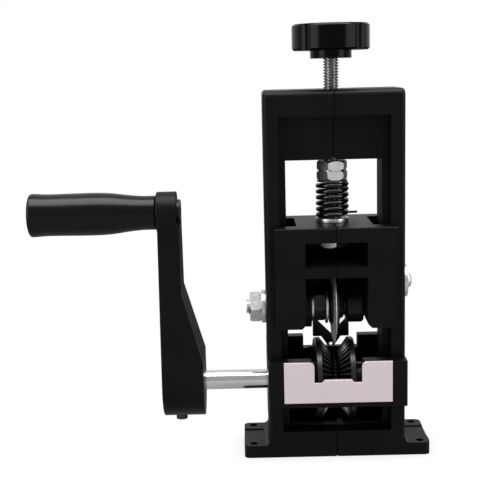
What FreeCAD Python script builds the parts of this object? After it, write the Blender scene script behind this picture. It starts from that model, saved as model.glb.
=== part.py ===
"""Hand-cranked cable stripping machine, millimetres.

X runs along the drive shaft (the crank is on the -X side), Y points away from the operator,
Z is up. The origin is under the middle of the base, on the bench.
"""
import FreeCAD, Part
import math
import os

V = FreeCAD.Vector

# ---- hardware sizes -------------------------------------------------------------------------
THREAD_D = 7.94          # 5/16-18 UNC screw thread, outside diameter
NUT_AF = 14.0            # across flats of every large nut
NUT_H = 6.6              # full nut height
JAM_H = 4.8              # thin nut height
WASHER_D = 17.0
SCREW_D = 4.0            # small assembly screws
SCREW_HEAD_D = 7.0
SCREW_HEAD_H = 3.6
SMALL_SCREW_D = 3.0      # carriage screws, inside its thin faces
SMALL_HEAD_D = 5.0
SHAFT_D = 10.0

# ---- clearances -----------------------------------------------------------------------------
THREAD_FIT = 0.04        # radial, thread in its nut
RUN_FIT = 0.04           # radial, shaft in its bush
SCREW_FIT = 0.05         # radial, small screw in its hole
SLIDE_GAP = 0.3          # between the carriage and the frame
LOOSE = 0.6              # radial, rod through a plain hole
SIDE_GAP = 0.1           # between faces that turn against each other

# ---- frame ----------------------------------------------------------------------------------
FRAME_W = 70.0
FRAME_D = 35.0
FRAME_H = 188.0
RIM_W = 7.2              # outer rim of each column, full depth
WEB_W = 10.8             # thick middle of each column
WEB_D = 20.0
TOP_LIP_H = 12.9         # full-depth lip along the top
TOP_BAR_H = 34.9         # recessed top bar, lip included
EDGE_R = 3.6             # round along the top front and rear edges
SIDE_EDGE_R = 2.0        # round along the two sides, down every outer corner
BASE_H = 13.7
BASE_POCKET_D = 16.4
BASE_FLOOR = 4.0
SEAM_CHAMFER = 1.4
SEAM_GROOVE_W = 0.7      # shallow groove where two halves meet
SEAM_GROOVE_D = 0.9
FOOT_W = 96.0
FOOT_T = 6.5
FOOT_R = 3.0
FOOT_STEP = 0.5          # shallow relief between the two ears of a foot
FOOT_STEP_D = 16.0
FOOT_FILLET = 2.5
FOOT_HOLE_D = 4.0
FOOT_HOLE_DX = 86.0
FOOT_HOLE_DY = 27.5

# ---- drive ----------------------------------------------------------------------------------
SHAFT_Z = 37.15
BUSH_WALL = 2.0
BUSH_FLANGE_T = 1.0
BUSH_FLANGE_R = 9.0
ROLLER_R = 21.2
ROLLER_W = 20.6
ROLLER_RIM = 3.0
VALLEY_R = 11.8
VALLEY_FLAT = 1.0
SPACER_R = 8.0
ARM_OUTER_X = -89.6      # outer face of the crank arm
ARM_T_TOP = 11.2
ARM_BOSS_PROUD = 0.7     # boss round the grip spindle, past the outer face
ARM_BOSS_RECESS = 1.6    # seat of the spindle's head, in the inner face
ARM_EDGE_R = 0.8
ARM_T_HUB = 21.5
ARM_THROW = 90.0         # shaft axis to grip axis
ARM_HUB_R = 18.0
ARM_TOP_R = 10.7
ARM_SLANT_Z0 = 13.5      # where the thick hub starts to taper, above the shaft
ARM_SLANT_Z1 = 50.0      # where the taper ends
ARM_SCREW_D = 6.0
ARM_SCREW_OUT = 2.6
SPINDLE_D = 8.0
SPINDLE_HEAD_R = 6.6
SPINDLE_HEAD_H = 2.0
SPINDLE_IN_GRIP = 57.0
GRIP_L = 65.0
GRIP_R_END = 11.2
GRIP_R_WAIST = 10.8
GRIP_R_SWELL = 11.0
GRIP_R_NECK = 8.8
GRIP_END_R = 1.4

# ---- guides ---------------------------------------------------------------------------------
GUIDE_T = 8.5
GUIDE_Z0 = 29.2
GUIDE_Z1 = 52.7
PLATE_W = 54.4
PLATE_T = 1.2
PLATE_PROUD = 0.8
PLATE_Z0 = 32.0
PLATE_Z1 = 53.1
PLATE_NOTCH_W = 24.0
PLATE_NOTCH_Z = 42.4
PLATE_CORNER_R = 2.5
LIP_W = 13.8
LIP_H = 1.3
LIP_T = 2.4
ROLLER_POCKET_W = 25.0
ROLLER_POCKET_GAP = 1.2
REAR_GUIDE_LAP = 1.7     # the rear guide also closes the space under the shaft
REAR_GUIDE_Z1 = 54.5
REAR_NOTCH_W = 29.6
REAR_NOTCH_Z = 47.7
REAR_LEDGE_Z = 43.3
REAR_LEDGE_D = 2.5
GUIDE_BOLT_Z = 48.5
PLATE_SCREW_D = 3.0
PLATE_SCREW_X = 20.0
PLATE_SCREW_Z = 36.0

# ---- carriage -------------------------------------------------------------------------------
CAR_W = 61.2
CAR_D = 47.0
CAR_Z0 = 69.5
CAR_Z1 = 120.5
CAR_WEB_W = 38.4
CAR_WEB_D = 29.0
CAR_FACE_T = 5.7         # thickness of the face in front of the rims
OPEN_W = 31.0
OPEN_TOP = 95.4
OPEN_CHAMFER = 2.0
WIN_Z0 = 102.7
WIN_Z1 = 113.0
WIN_BEVEL = 2.1
POCKET_BACK_Y = 12.5
BLADE_SLOT_W = 5.0
BLADE_GAP = 1.0
RIB_Z = 103.7
RIB_T = 1.0
RIB_FRONT_Y = 9.0        # behind the corners of the retaining nut
AXLE_Z = 76.4
AXLE_END_X = -45.3
STUD_Z = 88.6
STUD_HEAD_R = 3.95
STUD_HEAD_H = 2.5
STUD_SHANK_R = 2.5
STUD_WASHER_T = 2.8
AXLE_BOSS_R = 11.2       # boss inside the carriage, round the blade axle
AXLE_BOSS_X = -11.7
TRAVEL_DOWN = 4.5
TRAVEL_UP = 13.0
FLOAT_UP = 3.5
SHOE_T = 2.3
SHOE_Y = 16.9
SHOE_W = 19.4
SHOE_ARM_W = 1.5
SHOE_TOP = 79.0
SHOE_SHOULDER_Z = 54.9
SHOE_TONGUE_W = 10.6
SHOE_TIP_Z = 49.2
SHOE_TIP_W = 2.8
SHOE_SLOT_W = 1.9
SHOE_SLOT_H = 2.3
SHOE_NOTCH_Z = 56.4
SHOE_NOTCH_TOP_Z = 64.7

# ---- blade ----------------------------------------------------------------------------------
BLADE_R = 20.2
BLADE_T = 1.5
BLADE_BEVEL = 3.0
BLADE_EDGE_T = 0.2
HUB_R = 6.0
FLANGE_R_L = 10.0
FLANGE_T_L = 1.6
FLANGE_R_R = 12.5
FLANGE_T_R = 1.8
DOME_R = 8.0
DOME_T = 2.4
SLEEVE_R = 9.2
SLEEVE_X0 = 6.2
SLEEVE_X1 = 15.2
INNER_NUT_X0 = -10.5
INNER_NUT_H = 6.2
SPACER_WASHER_R = 8.2
OUTER_NUT_H = 6.0
OUTER_WASHER_T = 2.2
INNER_WASHER_R = 9.5
INNER_WASHER_T = 1.1

# ---- screw ----------------------------------------------------------------------------------
ROD_END_Z = 107.5
RETAIN_NUT_H = 5.4
SPRING_D = 17.0
SPRING_WIRE = 2.4
SPRING_TURNS = 5.75
LOWER_WASHER_T = 2.2
UPPER_WASHER_T = 1.0
UPPER_WASHER_D = 15.6
THRUST_NUT_Z = 142.2
KNOB_Z0 = 207.0
KNOB_Z1 = 220.0
KNOB_R = 19.5
KNOB_HUB_R = 10.4
KNOB_HUB_Z = 203.1
KNOB_FLUTES = 4
KNOB_FLUTE_R = 7.0
KNOB_FLUTE_DEPTH = 1.3
KNOB_CHAMFER = 1.0
KNOB_BORE_TOP = 214.0
INSERT_AF = 12.7
INSERT_H = 7.0
CAPTIVE_Z = 170.0
SPRING_CAVITY_R = 8.8
SPRING_CAVITY_GAP = 0.8

# ---- derived --------------------------------------------------------------------------------
HALF_W = FRAME_W / 2
HALF_D = FRAME_D / 2
INNER_X = HALF_W - WEB_W
RIM_X = HALF_W - RIM_W
BAR_Z = FRAME_H - TOP_BAR_H
LIP_Z = FRAME_H - TOP_LIP_H
THREAD_R = THREAD_D / 2
CLEAR_R = THREAD_R + LOOSE
NUT_BORE_R = THREAD_R + THREAD_FIT
SPRING_Z0 = CAR_Z1 + LOWER_WASHER_T
UPPER_WASHER_Z = THRUST_NUT_Z - UPPER_WASHER_T
SPRING_Z1 = UPPER_WASHER_Z
LOCK_NUT_Z = THRUST_NUT_Z + JAM_H + SIDE_GAP
CAVITY_TOP = LOCK_NUT_Z + JAM_H + TRAVEL_UP + SPRING_CAVITY_GAP
GRIP_Z = SHAFT_Z + ARM_THROW
REAR_GUIDE_Z0 = BASE_H - REAR_GUIDE_LAP
GUIDE_BACK_Y = -HALF_D
GUIDE_FRONT_Y = -HALF_D - GUIDE_T


def box(x0, x1, y0, y1, z0, z1):
    return Part.makeBox(x1 - x0, y1 - y0, z1 - z0, V(x0, y0, z0))


def cyl_x(radius, x0, x1, y=0.0, z=0.0):
    return Part.makeCylinder(radius, x1 - x0, V(x0, y, z), V(1, 0, 0))


def cyl_y(radius, y0, y1, x=0.0, z=0.0):
    return Part.makeCylinder(radius, y1 - y0, V(x, y0, z), V(0, 1, 0))


def cyl_z(radius, z0, z1, x=0.0, y=0.0):
    return Part.makeCylinder(radius, z1 - z0, V(x, y, z0), V(0, 0, 1))


def prism(points, vector):
    """Solid from a closed outline of points, pushed along a vector."""
    outline = Part.makePolygon(points + [points[0]])
    return Part.Face(outline).extrude(vector)


def hexagon(across_flats, turn_deg):
    radius = across_flats / math.sqrt(3)
    angles = [math.radians(60 * i + turn_deg) for i in range(6)]
    return [(radius * math.cos(a), radius * math.sin(a)) for a in angles]


def rounded_hex_z(across_flats, z0, z1, turn_deg=0.0):
    """Hexagonal nut blank along Z with its corners broken top and bottom."""
    corner = across_flats / math.sqrt(3)
    blank = prism([V(x, y, z0) for x, y in hexagon(across_flats, turn_deg)], V(0, 0, z1 - z0))
    height = z1 - z0
    flare = corner - across_flats / 2
    low = Part.makeCone(across_flats / 2 + 0.1, across_flats / 2 + 0.1 + height, height, V(0, 0, z0))
    high = Part.makeCone(across_flats / 2 + 0.1 + height, across_flats / 2 + 0.1, height, V(0, 0, z0))
    assert height > 2 * flare
    return blank.common(low).common(high)


def nut_z(z0, height, turn_deg=0.0, across_flats=NUT_AF):
    return rounded_hex_z(across_flats, z0, z0 + height, turn_deg).cut(
        cyl_z(NUT_BORE_R, z0 - 1, z0 + height + 1))


def turn_to_x(shape, x0, z):
    """Lay a shape built up from the origin along Z down along +X."""
    laid = shape.copy()
    laid.rotate(V(0, 0, 0), V(0, 1, 0), 90)
    laid.translate(V(x0, 0, z))
    return laid


def nut_x(x0, height, z, turn_deg=0.0):
    return turn_to_x(nut_z(0, height, turn_deg), x0, z)


def washer_x(radius, x0, x1, z, bore=NUT_BORE_R):
    return cyl_x(radius, x0, x1, z=z).cut(cyl_x(bore, x0 - 1, x1 + 1, z=z))


def cap_screw_x(x_head, x_tip, y, z, shank_d=SCREW_D, head_d=SCREW_HEAD_D):
    """Socket-head screw lying along X; its head's outer face is at x_head."""
    sign = 1 if x_tip > x_head else -1
    head_inner = x_head + sign * SCREW_HEAD_H
    head = cyl_x(head_d / 2, min(x_head, head_inner), max(x_head, head_inner), y, z)
    shank = cyl_x(shank_d / 2, min(head_inner, x_tip), max(head_inner, x_tip), y, z)
    socket_r = shank_d * 0.42
    socket = prism([V(x_head, y + a * socket_r, z + b * socket_r)
                    for a, b in [(math.cos(math.radians(60 * i)), math.sin(math.radians(60 * i)))
                                 for i in range(6)]], V(sign * SCREW_HEAD_H * 0.6, 0, 0))
    return head.fuse(shank).cut(socket)


def cap_screw_hole_x(x_face, x_head, x_tip, y, z, shank_d=SCREW_D, head_d=SCREW_HEAD_D):
    """Counterbored hole from x_face for a screw whose head's outer face is at x_head."""
    sign = 1 if x_tip > x_head else -1
    head_inner = x_head + sign * SCREW_HEAD_H
    bore_r = head_d / 2 + SCREW_FIT
    bore = cyl_x(bore_r, min(x_face, head_inner), max(x_face, head_inner), y, z)
    hole = cyl_x(shank_d / 2 + SCREW_FIT, min(head_inner, x_tip), max(head_inner, x_tip), y, z)
    return bore.fuse(hole)


def slot_x(x0, x1, radius, z_low, z_high):
    """Upright round-ended slot through a column, along X."""
    ends = cyl_x(radius, x0, x1, z=z_low).fuse(cyl_x(radius, x0, x1, z=z_high))
    return ends.fuse(box(x0, x1, -radius, radius, z_low, z_high))


# ---- frame ----------------------------------------------------------------------------------
FRAME_SCREW_X = HALF_W - 0.4
FRAME_SCREW_TIP = -HALF_W + 6.0
FRAME_SCREWS = [(y, z) for y in (-12.0, 12.0) for z in (LIP_Z + 5.5, BASE_H - 8.2)]
TIE_Z = 11.4
TIE_BOSS_X = 6.5
TIE_BOSS_R = 4.4
TIE_NUT_X = 1.0
TIE_NUT_T = 3.2


def frame_body():
    shell = box(-HALF_W, HALF_W, -HALF_D, HALF_D, 0, FRAME_H)
    round_edges = [e for e in shell.Edges
                   if abs(e.BoundBox.ZMin - FRAME_H) < 1e-6 and e.BoundBox.XLength > FRAME_D]
    shell = shell.makeFillet(EDGE_R, round_edges)
    side_edges = [e for e in shell.Edges
                  if abs(abs(e.BoundBox.XMin) - HALF_W) < 1e-4 and e.BoundBox.XLength < 1e-4
                  and e.BoundBox.ZMax > BASE_H]
    shell = shell.makeFillet(SIDE_EDGE_R, side_edges)
    window = box(-INNER_X, INNER_X, -HALF_D, HALF_D, BASE_H, BAR_Z)
    shell = shell.cut(window)
    web_half = WEB_D / 2
    for side in (-1, 1):
        low, high = sorted((side * web_half, side * HALF_D))
        shell = shell.cut(box(-RIM_X, RIM_X, low, high, BASE_H, LIP_Z))
    pocket_half = BASE_POCKET_D / 2
    shell = shell.cut(box(-INNER_X, INNER_X, -pocket_half, pocket_half, BASE_FLOOR, BASE_H))
    seam = prism([V(-SEAM_CHAMFER, -web_half, BAR_Z), V(SEAM_CHAMFER, -web_half, BAR_Z),
                  V(0, -web_half, BAR_Z + SEAM_CHAMFER)], V(0, WEB_D, 0))
    return shell.cut(seam)


def foot(side):
    x_in = side * (HALF_W - SIDE_EDGE_R)
    x_out = side * FOOT_W / 2
    pad = box(min(x_in, x_out), max(x_in, x_out), -HALF_D, HALF_D, 0, FOOT_T)
    corners = [e for e in pad.Edges
               if e.BoundBox.ZLength > FOOT_T - 1e-6 and abs(e.BoundBox.XMin - x_out) < 1e-6]
    pad = pad.makeFillet(FOOT_R, corners)
    relief_x = side * (HALF_W + FOOT_FILLET)
    relief = box(min(relief_x, x_out), max(relief_x, x_out), -FOOT_STEP_D / 2, FOOT_STEP_D / 2,
                 FOOT_T - FOOT_STEP, FOOT_T)
    pad = pad.cut(relief)
    wedge = box(min(x_in, relief_x), max(x_in, relief_x), -HALF_D, HALF_D,
                FOOT_T, FOOT_T + FOOT_FILLET)
    wedge = wedge.cut(cyl_y(FOOT_FILLET, -HALF_D, HALF_D, relief_x, FOOT_T + FOOT_FILLET))
    pad = pad.fuse(wedge)
    for side_y in (-1, 1):
        pad = pad.cut(cyl_z(FOOT_HOLE_D / 2, -1, FOOT_T + 1,
                            side * FOOT_HOLE_DX / 2, side_y * FOOT_HOLE_DY / 2))
    return pad


def guide_bolt_hole(side, y0, y1):
    return cyl_y(SCREW_D / 2 + SCREW_FIT, y0, y1, side * GUIDE_BOLT_X, GUIDE_BOLT_Z)


def make_frame():
    body = frame_body().fuse(foot(-1)).fuse(foot(1))
    for side in (-1, 1):
        boss = cyl_x(TIE_BOSS_R, min(side * TIE_BOSS_X, side * INNER_X),
                     max(side * TIE_BOSS_X, side * INNER_X), z=TIE_Z)
        boss = boss.common(box(-HALF_W, HALF_W, -HALF_D, HALF_D, 0, BASE_H))
        body = body.fuse(boss)
    bush_r = SHAFT_D / 2 + BUSH_WALL
    body = body.cut(cyl_x(bush_r, -HALF_W, HALF_W - 2.0, z=SHAFT_Z))
    body = body.cut(cyl_z(CLEAR_R, BAR_Z - 1, FRAME_H + 1))
    body = body.cut(cyl_z(SPRING_CAVITY_R, BAR_Z - 1, CAVITY_TOP))
    body = body.cut(prism([V(x, y, CAPTIVE_Z) for x, y in hexagon(NUT_AF + 0.1, 30)],
                          V(0, 0, NUT_H)))
    axle_slot = slot_x(-HALF_W - 1, -INNER_X + 1, THREAD_R + LOOSE,
                       AXLE_Z - TRAVEL_DOWN, AXLE_Z + TRAVEL_UP + FLOAT_UP)
    stud_slot = slot_x(INNER_X - 1, HALF_W + 1, STUD_SHANK_R + LOOSE,
                       STUD_Z - TRAVEL_DOWN, STUD_Z + TRAVEL_UP + FLOAT_UP)
    body = body.cut(axle_slot).cut(stud_slot)
    for y, z in FRAME_SCREWS:
        body = body.cut(cap_screw_hole_x(HALF_W + 1, FRAME_SCREW_X, FRAME_SCREW_TIP, y, z))
    body = body.cut(cap_screw_hole_x(HALF_W + 1, FRAME_SCREW_X, FRAME_SCREW_TIP, 0, TIE_Z))
    for side in (-1, 1):
        body = body.cut(guide_bolt_hole(side, -HALF_D - 1, HALF_D + 1))
    body = body.cut(seam_groove(HALF_D, -1, BAR_Z)).cut(seam_groove(HALF_D, LIP_Z, FRAME_H + 1))
    body = body.cut(seam_groove(WEB_D / 2, BAR_Z, LIP_Z))
    big = FRAME_H + FOOT_W
    left = body.common(box(-big, 0, -big, big, -1, big))
    right = body.common(box(0, big, -big, big, -1, big))
    return left.removeSplitter(), right.removeSplitter()


def seam_groove(face_y, z0, z1):
    """Groove front and rear, along the line where two mirrored halves meet."""
    half = SEAM_GROOVE_W / 2
    front = box(-half, half, -face_y - 1, -face_y + SEAM_GROOVE_D, z0, z1)
    return front.fuse(box(-half, half, face_y - SEAM_GROOVE_D, face_y + 1, z0, z1))


def make_frame_screws():
    return Part.makeCompound([cap_screw_x(FRAME_SCREW_X, FRAME_SCREW_TIP, y, z)
                              for y, z in FRAME_SCREWS])


def make_tie_nut():
    blank = rounded_hex_z(SCREW_HEAD_D, 0, TIE_NUT_T, 30)
    blank = blank.cut(cyl_z(SCREW_D / 2 + THREAD_FIT, -1, TIE_NUT_T + 1))
    return turn_to_x(blank, TIE_NUT_X, TIE_Z)


# ---- drive ----------------------------------------------------------------------------------
ARM_SCREW_X = ARM_OUTER_X + 8.6
GRIP_X1 = ARM_OUTER_X - ARM_BOSS_PROUD - SLIDE_GAP
GRIP_X0 = GRIP_X1 - GRIP_L
SPINDLE_TIP_X = GRIP_X1 - SPINDLE_IN_GRIP
BOSS_IN_X = ARM_OUTER_X + ARM_T_TOP - ARM_BOSS_RECESS
SHAFT_X0 = ARM_OUTER_X + 2.5
SHAFT_X1 = HALF_W - 2.4


def make_bush(side):
    bore = SHAFT_D / 2 + RUN_FIT
    outer = HALF_W if side < 0 else HALF_W - 2.0
    sleeve_x = sorted((side * INNER_X, side * outer))
    sleeve = cyl_x(SHAFT_D / 2 + BUSH_WALL, sleeve_x[0], sleeve_x[1], z=SHAFT_Z)
    flange_x = sorted((side * (INNER_X - BUSH_FLANGE_T), side * INNER_X))
    flange = cyl_x(BUSH_FLANGE_R, flange_x[0], flange_x[1], z=SHAFT_Z)
    return sleeve.fuse(flange).cut(cyl_x(bore, -HALF_W - 1, HALF_W + 1, z=SHAFT_Z)).removeSplitter()


def make_roller():
    half = ROLLER_W / 2
    rim_x = half - ROLLER_RIM
    bore = SHAFT_D / 2
    break_r = 0.6
    outline = [V(-half, 0, bore), V(-half, 0, ROLLER_R - break_r), V(-half + break_r, 0, ROLLER_R),
               V(-rim_x, 0, ROLLER_R), V(-VALLEY_FLAT, 0, VALLEY_R), V(VALLEY_FLAT, 0, VALLEY_R),
               V(rim_x, 0, ROLLER_R), V(half - break_r, 0, ROLLER_R), V(half, 0, ROLLER_R - break_r),
               V(half, 0, bore)]
    face = Part.Face(Part.makePolygon(outline + [outline[0]]))
    roller = face.revolve(V(0, 0, 0), V(1, 0, 0), 360)
    roller.translate(V(0, 0, SHAFT_Z))
    return roller


def make_spacers():
    half = ROLLER_W / 2
    inner = INNER_X - BUSH_FLANGE_T - SIDE_GAP
    tubes = []
    for side in (-1, 1):
        x0, x1 = sorted((side * half, side * inner))
        tube = cyl_x(SPACER_R, x0, x1, z=SHAFT_Z).cut(cyl_x(SHAFT_D / 2, x0 - 1, x1 + 1, z=SHAFT_Z))
        hole = cyl_z(SCREW_D / 2 + SCREW_FIT, SHAFT_Z, SHAFT_Z + SPACER_R + 1, spacer_screw_x(side))
        tubes.append(tube.cut(hole))
    return Part.makeCompound(tubes)


def spacer_screw_x(side):
    return side * (ROLLER_W / 2 + 6.0)


def spacer_screw(side):
    """Headless screw that bears on the shaft."""
    low = SHAFT_Z + SHAFT_D / 2
    return cyl_z(SCREW_D / 2, low, SHAFT_Z + SPACER_R - 0.4, spacer_screw_x(side))


def make_arm():
    x_in_top = ARM_OUTER_X + ARM_T_TOP
    x_in_hub = ARM_OUTER_X + ARM_T_HUB
    z_low = SHAFT_Z - ARM_HUB_R
    z_high = GRIP_Z + ARM_TOP_R
    profile = [V(ARM_OUTER_X, -30, z_low), V(x_in_hub, -30, z_low),
               V(x_in_hub, -30, SHAFT_Z + ARM_SLANT_Z0), V(x_in_top, -30, SHAFT_Z + ARM_SLANT_Z1),
               V(x_in_top, -30, z_high), V(ARM_OUTER_X, -30, z_high)]
    slab = prism(profile, V(0, 60, 0))
    x0 = ARM_OUTER_X - 1
    x1 = x_in_hub + 1
    lean = math.asin((ARM_HUB_R - ARM_TOP_R) / ARM_THROW)
    points = []
    for radius, centre_z in ((ARM_HUB_R, SHAFT_Z), (ARM_TOP_R, GRIP_Z)):
        points.append((radius * math.cos(lean), centre_z + radius * math.sin(lean)))
    (hub_y, hub_z), (top_y, top_z) = points
    flanks = prism([V(x0, -hub_y, hub_z), V(x0, -top_y, top_z), V(x0, top_y, top_z),
                    V(x0, hub_y, hub_z)], V(x1 - x0, 0, 0))
    plan = flanks.fuse(cyl_x(ARM_HUB_R, x0, x1, z=SHAFT_Z)).fuse(cyl_x(ARM_TOP_R, x0, x1, z=GRIP_Z))
    arm = slab.common(plan.removeSplitter())
    outer_edges = [e for e in arm.Edges if abs(e.BoundBox.XMin - ARM_OUTER_X) < 1e-4
                   and e.BoundBox.XLength < 1e-4]
    arm = arm.makeFillet(ARM_EDGE_R, outer_edges)
    boss_x = ARM_OUTER_X - ARM_BOSS_PROUD
    boss = cyl_x(ARM_TOP_R, boss_x, BOSS_IN_X, z=GRIP_Z)
    boss_rim = [e for e in boss.Edges if e.Closed and abs(e.BoundBox.XMax - boss_x) < 0.01]
    boss = boss.makeFillet(ARM_EDGE_R, boss_rim)
    arm = arm.cut(cyl_x(ARM_TOP_R + 1, BOSS_IN_X, x_in_top + 1, z=GRIP_Z)).fuse(boss).removeSplitter()
    arm = arm.cut(cyl_x(SHAFT_D / 2, SHAFT_X0, x1 + 1, z=SHAFT_Z))
    arm = arm.cut(cyl_x(SPINDLE_D / 2, boss_x - 1, x1, z=GRIP_Z))
    arm = arm.cut(cyl_z(ARM_SCREW_D / 2, z_low - 1, SHAFT_Z, ARM_SCREW_X))
    return arm


def make_arm_screw():
    low = SHAFT_Z - ARM_HUB_R - ARM_SCREW_OUT
    screw = cyl_z(ARM_SCREW_D / 2, low, SHAFT_Z - SHAFT_D / 2, ARM_SCREW_X)
    screw = screw.cut(prism([V(ARM_SCREW_X + x, y, low) for x, y in hexagon(3.0, 0)], V(0, 0, 2.0)))
    return screw


def make_spindle():
    x_in = BOSS_IN_X
    rod = cyl_x(SPINDLE_D / 2, SPINDLE_TIP_X, x_in, z=GRIP_Z)
    head = cyl_x(SPINDLE_HEAD_R, x_in, x_in + SPINDLE_HEAD_H, z=GRIP_Z)
    socket = turn_to_x(prism([V(x, y, 0) for x, y in hexagon(5.0, 0)], V(0, 0, 3.0)),
                       x_in + SPINDLE_HEAD_H - 2.0, GRIP_Z)
    return rod.fuse(head).cut(socket).removeSplitter()


def make_grip():
    bore = SPINDLE_D / 2 + RUN_FIT + 0.04
    bore_end = SPINDLE_TIP_X - 1.0
    corner = GRIP_END_R * (1 - math.cos(math.pi / 4))
    end_arc = Part.Arc(V(GRIP_X0, 0, GRIP_R_END - GRIP_END_R),
                       V(GRIP_X0 + corner, 0, GRIP_R_END - corner),
                       V(GRIP_X0 + GRIP_END_R, 0, GRIP_R_END)).toShape()
    sides = [(0.14, GRIP_R_WAIST), (0.5, GRIP_R_SWELL), (0.64, GRIP_R_SWELL - 0.35),
             (0.8, GRIP_R_NECK + 0.55), (0.9, GRIP_R_NECK)]
    curve = Part.BSplineCurve()
    curve.interpolate([V(GRIP_X0 + GRIP_END_R, 0, GRIP_R_END)]
                      + [V(GRIP_X0 + share * GRIP_L, 0, r) for share, r in sides]
                      + [V(GRIP_X1, 0, GRIP_R_NECK)])
    corners = [V(GRIP_X1, 0, GRIP_R_NECK), V(GRIP_X1, 0, bore), V(bore_end, 0, bore),
               V(bore_end, 0, 0), V(GRIP_X0, 0, 0), V(GRIP_X0, 0, GRIP_R_END - GRIP_END_R)]
    lines = [Part.LineSegment(a, b).toShape() for a, b in zip(corners, corners[1:])]
    wire = Part.Wire([end_arc, curve.toShape()] + lines)
    grip = Part.Face(wire).revolve(V(0, 0, 0), V(1, 0, 0), 360)
    grip.translate(V(0, 0, GRIP_Z))
    return grip


# ---- guides ---------------------------------------------------------------------------------
GUIDE_BOLT_X = HALF_W - RIM_W / 2
BOLT_HEAD_Y = HALF_D + GUIDE_T
BOLT_TIP_Y = GUIDE_FRONT_Y + 2.0


def roller_pocket(y_sign):
    reach = ROLLER_R + ROLLER_POCKET_GAP
    y0, y1 = sorted((y_sign * (HALF_D - 1), y_sign * reach))
    return box(-ROLLER_POCKET_W / 2, ROLLER_POCKET_W / 2, y0, y1, SHAFT_Z - reach, REAR_GUIDE_Z1 + 1)


def round_uprights(block, radius, keep):
    edges = [e for e in block.Edges if e.BoundBox.ZLength > GUIDE_Z1 - GUIDE_Z0 - 1e-6 and keep(e)]
    return block.makeFillet(radius, edges)


def make_guide_carrier():
    block = box(-HALF_W, HALF_W, GUIDE_FRONT_Y, GUIDE_BACK_Y, GUIDE_Z0, GUIDE_Z1)
    block = round_uprights(block, 1.2, lambda e: abs(e.BoundBox.YMin - GUIDE_FRONT_Y) < 1e-6)
    recess_y = GUIDE_FRONT_Y + PLATE_T - PLATE_PROUD
    block = block.cut(box(-PLATE_W / 2 - 0.1, PLATE_W / 2 + 0.1, GUIDE_FRONT_Y - 1, recess_y,
                          GUIDE_Z0 - 1, GUIDE_Z1 + 1))
    block = block.cut(roller_pocket(-1))
    notch_half = PLATE_NOTCH_W / 2 + 1.0
    block = block.cut(box(-notch_half, notch_half, GUIDE_FRONT_Y - 1, GUIDE_BACK_Y + 1,
                          PLATE_NOTCH_Z - 0.6, GUIDE_Z1 + 1))
    for side in (-1, 1):
        block = block.cut(guide_bolt_hole(side, BOLT_TIP_Y, GUIDE_BACK_Y + 1))
        block = block.cut(plate_screw(side, SCREW_FIT))
    return block


def make_front_plate():
    y0 = GUIDE_FRONT_Y - PLATE_PROUD
    half = PLATE_W / 2
    notch = PLATE_NOTCH_W / 2
    sheet = box(-half, half, y0, y0 + PLATE_T, PLATE_Z0, PLATE_Z1)
    cut = box(-notch, notch, y0 - 1, y0 + PLATE_T + 1, PLATE_NOTCH_Z, PLATE_Z1 + 1)
    sheet = sheet.cut(cut)
    tops = [e for e in sheet.Edges if e.BoundBox.YLength > PLATE_T - 1e-6
            and abs(e.BoundBox.ZMin - PLATE_Z1) < 1e-6 and abs(abs(e.BoundBox.XMin) - notch) < 1e-6]
    sheet = sheet.makeFillet(PLATE_CORNER_R, tops)
    lip_low = PLATE_NOTCH_Z - 1.0
    lip_top = PLATE_NOTCH_Z + LIP_H
    lip = prism([V(-LIP_W / 2 - LIP_H, y0, lip_low), V(-LIP_W / 2 - LIP_H, y0, PLATE_NOTCH_Z),
                 V(-LIP_W / 2, y0, lip_top), V(LIP_W / 2, y0, lip_top),
                 V(LIP_W / 2 + LIP_H, y0, PLATE_NOTCH_Z), V(LIP_W / 2 + LIP_H, y0, lip_low)],
                V(0, PLATE_T, 0))
    roll = box(-LIP_W / 2, LIP_W / 2, y0, y0 + LIP_T, lip_top - PLATE_T, lip_top)
    roll_edges = [e for e in roll.Edges if e.BoundBox.XLength > LIP_W - 1e-6
                  and abs(e.BoundBox.ZMin - lip_top) < 1e-6]
    roll = roll.makeFillet(0.5, roll_edges)
    sheet = sheet.fuse(lip).fuse(roll).removeSplitter()
    for side in (-1, 1):
        sheet = sheet.cut(plate_screw(side, 0.0))
    return sheet


def plate_screw(side, gap):
    """Countersunk screw that reaches forward through the carrier into the back of the plate."""
    x = side * PLATE_SCREW_X
    tip = GUIDE_FRONT_Y - PLATE_PROUD + 0.5
    head_h = 2.0
    shank = cyl_y(PLATE_SCREW_D / 2 + gap, tip, GUIDE_BACK_Y - head_h, x, PLATE_SCREW_Z)
    head = cyl_y(PLATE_SCREW_D + gap, GUIDE_BACK_Y - head_h, GUIDE_BACK_Y, x, PLATE_SCREW_Z)
    return shank.fuse(head)


def make_plate_screws():
    screws = []
    for side in (-1, 1):
        slot = box(side * PLATE_SCREW_X - 2.2, side * PLATE_SCREW_X + 2.2, GUIDE_BACK_Y - 0.8,
                   GUIDE_BACK_Y, PLATE_SCREW_Z - 0.35, PLATE_SCREW_Z + 0.35)
        screws.append(plate_screw(side, 0.0).cut(slot))
    return Part.makeCompound(screws)


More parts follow.
